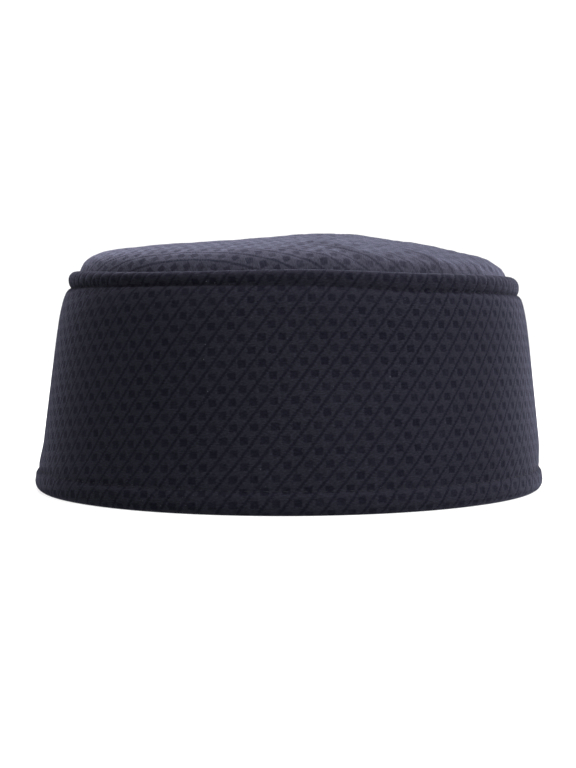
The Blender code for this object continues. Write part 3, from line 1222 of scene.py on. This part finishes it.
@dataclass
class CrownCloth:
    """The crown: a domed disc of damask with its edge turned down inside the welt."""

    form: CapForm
    chart: DamaskChart
    columns: int = 540
    ring_step: float = 0.00085
    skirt_foot_drop: float = 0.0020
    slack_azimuth: float = 60.0
    crumple_width: float = 0.013
    crumple_depth: float = 0.0008
    puckers: int = 84
    pucker_reach: float = 0.05
    pucker_depth: float = 0.00022
    # The flat cloth: the way its rows run, seen from above, and where its rows start
    row_azimuth: float = 24.5
    cloth_start: tuple[float, float] = (0.00045, 0.0)
    cut_width: float = 0.182
    # The rings as they are first turned: a level for each, and shares of the crease's radius
    level_step: float = -0.01
    edge_shares: tuple[float, ...] = (0.9900, 0.9950, 0.9975)
    inner_shares: tuple[float, ...] = (0.955, 0.90, 0.82, 0.72, 0.60, 0.46, 0.30, 0.15, 0.0)
    skirt_steps: int = 8
    skirt_share: float = 0.99
    # How the relief fades out at the crease, and how the crumples and puckers vary
    relief_fade: float = 0.02
    least_slack: float = 0.35
    pucker_wander: float = 3.0
    pucker_wander_width: float = 0.02
    # The grid that the dome's arcs are measured on, and the steps that its normals come from
    arc_shares: int = 81
    arc_turns: int = 73
    normal_step: float = 0.01
    normal_turn: float = 0.5

    def build(self) -> bpy.types.Object:
        """Turns the crown as flat rings, gives it its real form and weaves its relief into it.

        Returns:
            The crown.
        """
        form = self.form
        foot = form.rim_stitch_height - self.skirt_foot_drop
        rings = np.linspace(0.0, 1.0, round(form.rim_half_width / self.ring_step))
        shares = np.unique(np.concatenate([rings, self.edge_shares]))
        skirt = np.linspace(form.crease_height, foot, self.skirt_steps)[1:]
        inside_top = form.crease_height - form.crown_wall
        inner_skirt = np.linspace(foot, inside_top, self.skirt_steps // 2)
        stations = [(share, np.nan, 0.0) for share in shares]
        stations += [(1.0, height, 0.0) for height in skirt]
        stations += [(1.0, height, form.crown_wall) for height in inner_skirt]
        stations += [(share, np.nan, form.crown_wall) for share in self.inner_shares]
        table = np.array(stations)
        level = np.arange(len(table)) * self.level_step
        piece = turned("crown_cloth", list(zip(table[:, 0], level)), self.columns, closed=False)
        even = vertex_places(piece)
        azimuth = azimuths(even)
        station = np.round(even[:, 2] / self.level_step).astype(int)
        share, height, depth = table[station].T
        on_skirt = ~np.isnan(height)
        inset = form.welt_wall + form.seam_gap + depth
        skirt_place = form.band(azimuth, inset, np.where(on_skirt, height, form.crease_height))
        dome_place = form.dome(azimuth, share) - self.dome_normals(azimuth, share) * depth[:, None]
        put_vertices(piece, np.where(on_skirt[:, None], skirt_place, dome_place))
        cloth = self.cloth_place(self.flat_place(vertex_places(piece), azimuth))
        face = (~on_skirt & (depth == 0.0)) * ease((1.0 - share) / self.relief_fade)
        sink(piece, (self.chart.relief(cloth) + self.crumple(cloth, azimuth, share)) * face)
        write_cloth_map(piece, cloth[corner_vertices(piece)])
        inside = depth > 0.0
        sides = [
            Side.REVERSE.value if all(inside[list(polygon.vertices)]) else Side.RIGHT.value
            for polygon in piece.data.polygons
        ]
        piece.data.polygons.foreach_set("material_index", sides)
        return piece

    def crumple(self, cloth: np.ndarray, azimuth: np.ndarray, share: np.ndarray) -> np.ndarray:
        """How far the soft cloth sinks here and there, with small puckers along the seam.

        Args:
            cloth: One row of cloth coordinates for each point.
            azimuth: Azimuths, in degrees.
            share: Shares of the crease's radius.

        Returns:
            The depth at each point.
        """
        towards = np.clip(np.cos(np.radians(azimuth - self.slack_azimuth)), 0.0, 1.0)
        slack = self.least_slack + (1.0 - self.least_slack) * towards
        broad = roughly(cloth, self.crumple_width) * self.crumple_depth
        small = roughly(cloth, self.crumple_width / 3.0) * self.crumple_depth / 3.0
        wander = self.pucker_wander * roughly(cloth, self.pucker_wander_width)
        pucker = np.sin(np.radians(azimuth) * self.puckers + wander)
        pucker = pucker * np.exp(-(1.0 - share) / self.pucker_reach) * self.pucker_depth
        return (broad + small + pucker) * slack

    def dome_normals(self, azimuth: np.ndarray, share: np.ndarray) -> np.ndarray:
        """Unit normals of the crown's outer face.

        Args:
            azimuth: Azimuths, in degrees.
            share: Shares of the crease's radius.

        Returns:
            One normal for each point.
        """
        step, turn = self.normal_step, self.normal_turn
        near = np.clip(share, 2.0 * step, 1.0 - 2.0 * step)
        outwards = self.form.dome(azimuth, near + step) - self.form.dome(azimuth, near - step)
        sideways = self.form.dome(azimuth + turn, near) - self.form.dome(azimuth - turn, near)
        normal = np.cross(outwards, sideways)
        normal /= np.linalg.norm(normal, axis=1)[:, None]
        return np.where(share[:, None] > step, normal, np.array([0.0, 0.0, 1.0]))

    def flat_place(self, places: np.ndarray, azimuth: np.ndarray) -> np.ndarray:
        """Where points of the crown lie when its cloth is laid flat, from the middle of the disc.

        Args:
            places: One row of x, y and z for each point.
            azimuth: Azimuths, in degrees.

        Returns:
            One row of x and y on the disc for each point.
        """
        shares = np.linspace(0.0, 1.0, self.arc_shares)
        turns = np.linspace(-FULL_TURN / 2.0, FULL_TURN / 2.0, self.arc_turns)
        grid = self.form.dome(np.repeat(turns, len(shares)), np.tile(shares, len(turns)))
        steps = np.linalg.norm(np.diff(grid.reshape(len(turns), len(shares), 3), axis=1), axis=2)
        run = np.concatenate([np.zeros((len(turns), 1)), np.cumsum(steps, axis=1)], axis=1)
        crease = self.form.crease(azimuth)
        middle = np.array([self.form.rim_shift_x, self.form.rim_shift_y])
        off_middle = np.linalg.norm(places[:, :2] - middle, axis=1)
        share = np.clip(off_middle / np.linalg.norm(crease[:, :2] - middle, axis=1), 0.0, 1.0)
        column = (azimuth + FULL_TURN / 2.0) / (FULL_TURN / (self.arc_turns - 1))
        low = np.clip(np.floor(column).astype(int), 0, len(turns) - 2)
        ring = share * (len(shares) - 1)
        inner = np.clip(np.floor(ring).astype(int), 0, len(shares) - 2)
        at_low = mix(run[low, inner], run[low, inner + 1], ring - inner)
        at_high = mix(run[low + 1, inner], run[low + 1, inner + 1], ring - inner)
        reach = mix(at_low, at_high, column - low)
        turned_down = np.maximum(crease[:, 2] - places[:, 2], 0.0)
        reach = reach + np.where(share > self.skirt_share, turned_down, 0.0)
        turn = np.radians(azimuth)
        return np.stack([reach * np.sin(turn), -reach * np.cos(turn)], axis=-1)

    def cloth_place(self, flat: np.ndarray) -> np.ndarray:
        """Cloth coordinates of points of the flat disc.

        Args:
            flat: One row of x and y on the disc for each point.

        Returns:
            One row of coordinates for each point.
        """
        way = radians(self.row_azimuth)
        along = flat[:, 0] * sin(way) - flat[:, 1] * cos(way) - self.cloth_start[0]
        across = flat[:, 0] * cos(way) + flat[:, 1] * sin(way) - self.cloth_start[1]
        return np.stack([along, across], axis=-1)


@dataclass
class StitchRow:
    """A row of machine stitches that runs right round the band."""

    name: str
    form: CapForm
    height: float
    inset: float
    # From one stitch to the next, the gap between them, and how the ends taper and dive, as shares
    pitch: float = 0.0030
    gap: float = 0.0006
    thickness: float = 0.00040
    sunk: float = 0.00012
    end_taper: float = 0.35
    end_dive: float = 0.8
    sides: int = 6
    ring_points: int = 1441
    # How far ahead and above a stitch its neighbours are looked for, in degrees and metres
    look_ahead: float = 0.2
    look_above: float = 0.001

    def build(self, material: bpy.types.Material) -> bpy.types.Object:
        """Models one stitch, copies it round the band and joins the copies.

        Args:
            material: The thread's finish.

        Returns:
            The joined row.
        """
        one = self.one_stitch()
        turns = np.linspace(0.0, FULL_TURN, self.ring_points)
        ring = self.form.band(turns, self.inset, self.height)
        run = run_along(ring)
        count = round(run[-1] / self.pitch)
        copies = []
        for index in range(count):
            azimuth = np.interp(run[-1] * index / count, run, turns)
            copies.append(self.placed_copy(one, azimuth))
        bpy.data.objects.remove(one)
        deselect_all()
        for copy in copies:
            copy.select_set(True)
        bpy.context.view_layer.objects.active = copies[0]
        bpy.ops.object.join()
        row = bpy.context.active_object
        row.name = row.data.name = self.name
        bpy.ops.object.transform_apply(location=True, rotation=True, scale=True)
        row.data.materials.clear()
        row.data.materials.append(material)
        row.data.shade_smooth()
        return row

    def one_stitch(self) -> bpy.types.Object:
        """One stitch along X: a short length of thread that dives into the cloth at both ends.

        Returns:
            The stitch, on the origin.
        """
        deselect_all()
        length = self.pitch - self.gap
        bpy.ops.mesh.primitive_cylinder_add(
            vertices=self.sides, radius=self.thickness / 2.0, depth=length, rotation=(0.0, pi / 2.0, 0.0)
        )
        stitch = bpy.context.active_object
        bpy.ops.object.transform_apply(location=True, rotation=True, scale=True)
        bpy.ops.object.mode_set(mode="EDIT")
        for cut in (-length / 4.0, length / 4.0):
            bpy.ops.mesh.select_all(action="SELECT")
            bpy.ops.mesh.bisect(plane_co=(cut, 0.0, 0.0), plane_no=(1.0, 0.0, 0.0))
        bpy.ops.object.mode_set(mode="OBJECT")
        for vertex in stitch.data.vertices:
            past = max(abs(vertex.co.x) - length / 4.0, 0.0) / (length / 4.0)
            vertex.co.y *= 1.0 - self.end_taper * past
            vertex.co.z *= 1.0 - self.end_taper * past
            vertex.co.z -= self.thickness * self.end_dive * past**2
        return stitch

    def placed_copy(self, stitch: bpy.types.Object, azimuth: float) -> bpy.types.Object:
        """A copy of the stitch laid along the band at an azimuth, with its top facing out.

        Args:
            stitch: The stitch to copy.
            azimuth: Where it goes, in degrees.

        Returns:
            The copy.
        """
        inset = self.inset + self.sunk
        here, ahead = self.form.band(np.array([azimuth, azimuth + self.look_ahead]), inset, self.height)
        above = self.form.band(np.array(azimuth), inset, self.height + self.look_above)
        run = Vector(ahead - here).normalized()
        up = Vector(above - here).normalized()
        out = run.cross(up).normalized()
        side = out.cross(run)
        copy = stitch.copy()
        copy.data = stitch.data.copy()
        bpy.context.scene.collection.objects.link(copy)
        turn = Matrix((run, side, out)).transposed().to_4x4()
        copy.matrix_world = Matrix.Translation(Vector(here)) @ turn
        return copy


@dataclass
class Studio:
    """A pale seamless floor, soft lights and the photo's camera."""

    # The camera, with angles in degrees and the lens and its sensor in millimetres
    view_azimuth: float = 11.5
    view_distance: float = 0.582
    view_height: float = 0.062
    view_aside: float = 0.0011
    view_fall: float = 2.5
    lens: float = 74.67
    sensor: float = 36.0
    shift_x: float = -0.0065
    # How bright the surroundings are, and how much more so on the right and in front
    surroundings: float = 0.55
    more_right: float = 0.25
    more_front: float = 0.3
    # The paper floor and its sweep, and the height that the lights are aimed at
    sweep_radius: float = 0.6
    floor_half: float = 3.0
    aim_height: float = 0.04
    sweep_steps: int = 24
    paper_colour: tuple[float, float, float, float] = (0.25, 0.25, 0.25, 1.0)
    paper_glow: float = 0.80
    white: tuple[float, float, float, float] = (1.0, 1.0, 1.0, 1.0)

    def build(self) -> None:
        """Builds the floor, the lights and the camera."""
        self.floor()
        self.world()
        self.lights()
        self.camera()

    def floor(self) -> None:
        """A floor that curves up into a backdrop behind the cap."""
        deselect_all()
        bpy.ops.mesh.primitive_plane_add(size=2.0 * self.floor_half, location=(0.0, 0.0, 0.0))
        floor = bpy.context.active_object
        floor.name = floor.data.name = "floor"
        bpy.ops.object.mode_set(mode="EDIT")
        bpy.ops.mesh.select_all(action="DESELECT")
        bpy.ops.object.mode_set(mode="OBJECT")
        for edge in floor.data.edges:
            edge.select = all(floor.data.vertices[index].co.y > 0.0 for index in edge.vertices)
        bpy.ops.object.mode_set(mode="EDIT")
        bpy.ops.mesh.select_mode(type="EDGE")
        bpy.ops.mesh.extrude_region_move(TRANSFORM_OT_translate={"value": (0.0, 0.0, 2.0 * self.floor_half)})
        bpy.ops.object.mode_set(mode="OBJECT")
        bevel = floor.modifiers.new("Sweep", "BEVEL")
        bevel.width = self.sweep_radius
        bevel.segments = self.sweep_steps
        make_active(floor)
        bpy.ops.object.modifier_apply(modifier="Sweep")
        floor.data.shade_smooth()
        paper, _, shader = new_finish("pale_paper")
        shader.inputs["Base Color"].default_value = self.paper_colour
        shader.inputs["Emission Color"].default_value = self.white
        shader.inputs["Emission Strength"].default_value = self.paper_glow
        shader.inputs["Roughness"].default_value = 0.9
        shader.inputs["Specular IOR Level"].default_value = 0.0
        floor.data.materials.append(paper)

    def world(self) -> None:
        """White surroundings, whose light is dimmer on the left and behind."""
        world = bpy.data.worlds.new("studio")
        world.use_nodes = True
        graph = Graph(world.node_tree)
        way = graph.add("ShaderNodeSeparateXYZ")
        graph.feed(way.inputs[0], graph.add("ShaderNodeTexCoord").outputs["Generated"])
        strength = graph.plus(graph.times(way.outputs[0], self.more_right), self.surroundings)
        strength = graph.minus(strength, graph.times(way.outputs[1], self.more_front))
        seen = graph.add("ShaderNodeLightPath").outputs["Is Camera Ray"]
        strength = graph.calc("MAXIMUM", strength, seen)
        background = world.node_tree.nodes["Background"]
        background.inputs["Color"].default_value = self.white
        graph.feed(background.inputs["Strength"], strength)
        bpy.context.scene.world = world
        bpy.context.scene.view_settings.view_transform = "Standard"

    def lights(self) -> None:
        """Soft boxes: overhead, to the right, and behind on the right."""
        for name, place, size, power in (
            ("overhead", (0.1, 0.0, 1.3), 1.2, 44.0),
            ("right", (1.1, -0.5, 0.6), 0.7, 27.0),
            ("behind", (0.5, 1.1, 1.1), 1.0, 48.0),
        ):
            light = bpy.data.lights.new(name, "AREA")
            light.shape = "SQUARE"
            light.size = size
            light.energy = power
            lamp = bpy.data.objects.new(name, light)
            lamp.location = place
            lamp.visible_camera = False
            aim = Vector((0.0, 0.0, self.aim_height)) - lamp.location
            lamp.rotation_euler = aim.to_track_quat("-Z", "Y").to_euler()
            bpy.context.scene.collection.objects.link(lamp)

    def camera(self) -> None:
        """The camera, where the photo was taken from."""
        turn, fall = radians(self.view_azimuth), radians(self.view_fall)
        back = Vector((sin(turn), -cos(turn), 0.0))
        aside = Vector((cos(turn), sin(turn), 0.0))
        data = bpy.data.cameras.new("camera")
        data.lens = self.lens
        data.sensor_width = self.sensor
        data.shift_x = self.shift_x
        camera = bpy.data.objects.new("camera", data)
        up = Vector((0.0, 0.0, self.view_height))
        camera.location = back * self.view_distance + aside * self.view_aside + up
        towards = -back - Vector((0.0, 0.0, tan(fall)))
        camera.rotation_euler = towards.to_track_quat("-Z", "Y").to_euler()
        bpy.context.scene.collection.objects.link(camera)
        bpy.context.scene.camera = camera


def finish_piece(piece: bpy.types.Object, node: str) -> None:
    """Declares what a piece rides on and stands for, hiding that solid and logging how far the piece strays
    from it.

    Args:
        piece: The finished piece.
        node: The CAD node that it replaces.
    """
    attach(piece, "root")
    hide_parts(node)
    LOG.info("%s: %d faces, at most %.2f mm from %s", piece.name, len(piece.data.polygons),
             1000.0 * farthest_from_solid(piece, node), node)


def main() -> None:
    """Builds the cap's cloth and stitching, then the studio round it."""
    logging.basicConfig(level=logging.INFO, format="%(name)s: %(message)s")
    low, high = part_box("side_band")
    form = CapForm((high.x - low.x) / 2.0, (high.y - low.y) / 2.0)
    chart = DamaskChart()
    damask, lint = damask_group(), lint_group()
    band_finish = DamaskFinish("navy_damask_band", ground_sheen=0.110)
    # One cloth: on the crown, which is seen at a low angle, its ground and figure are painted lighter and its
    # sheen is set stronger than on the band, painted light for the brighter light that falls there
    crown_finish_painted_lighter = DamaskFinish(
        "navy_damask_crown", ground=(0.0180, 0.0180, 0.0260, 1.0), figure=(0.0080, 0.0080, 0.0130, 1.0),
        ground_sheen=0.20, figure_sheen=0.11,
        # A patch on the crown where the figure fades into the ground
        fade_centre=(0.046, 0.030, 0.0), fade_reach=0.040, fade_cover=0.70,
    )
    reverse = ReverseFinish("navy_reverse").material()
    thread = ThreadFinish("navy_thread").material()
    studio = Studio()
    studio.build()

    band_maker = BandCloth(form, chart)
    band = band_maker.build()
    crown_maker = CrownCloth(form, chart)
    crown = crown_maker.build()
    for piece, finish in ((band, band_finish), (crown, crown_finish_painted_lighter)):
        piece.data.materials.clear()
        piece.data.materials.append(finish.material(chart, damask, lint))
        piece.data.materials.append(reverse)
        piece.data.shade_smooth()
    finish_piece(band, "side_band")
    finish_piece(crown, "crown")

    for name, height, inset in (
        ("rim_stitches", form.rim_stitch_height, band_maker.stitch_groove),
        ("hem_stitches", form.hem_height, band_maker.hem_groove),
    ):
        row = StitchRow(name, form, height, inset).build(thread)
        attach(row, "root")
        LOG.info("%s: %d faces", row.name, len(row.data.polygons))


if __name__ == "__main__":
    main()
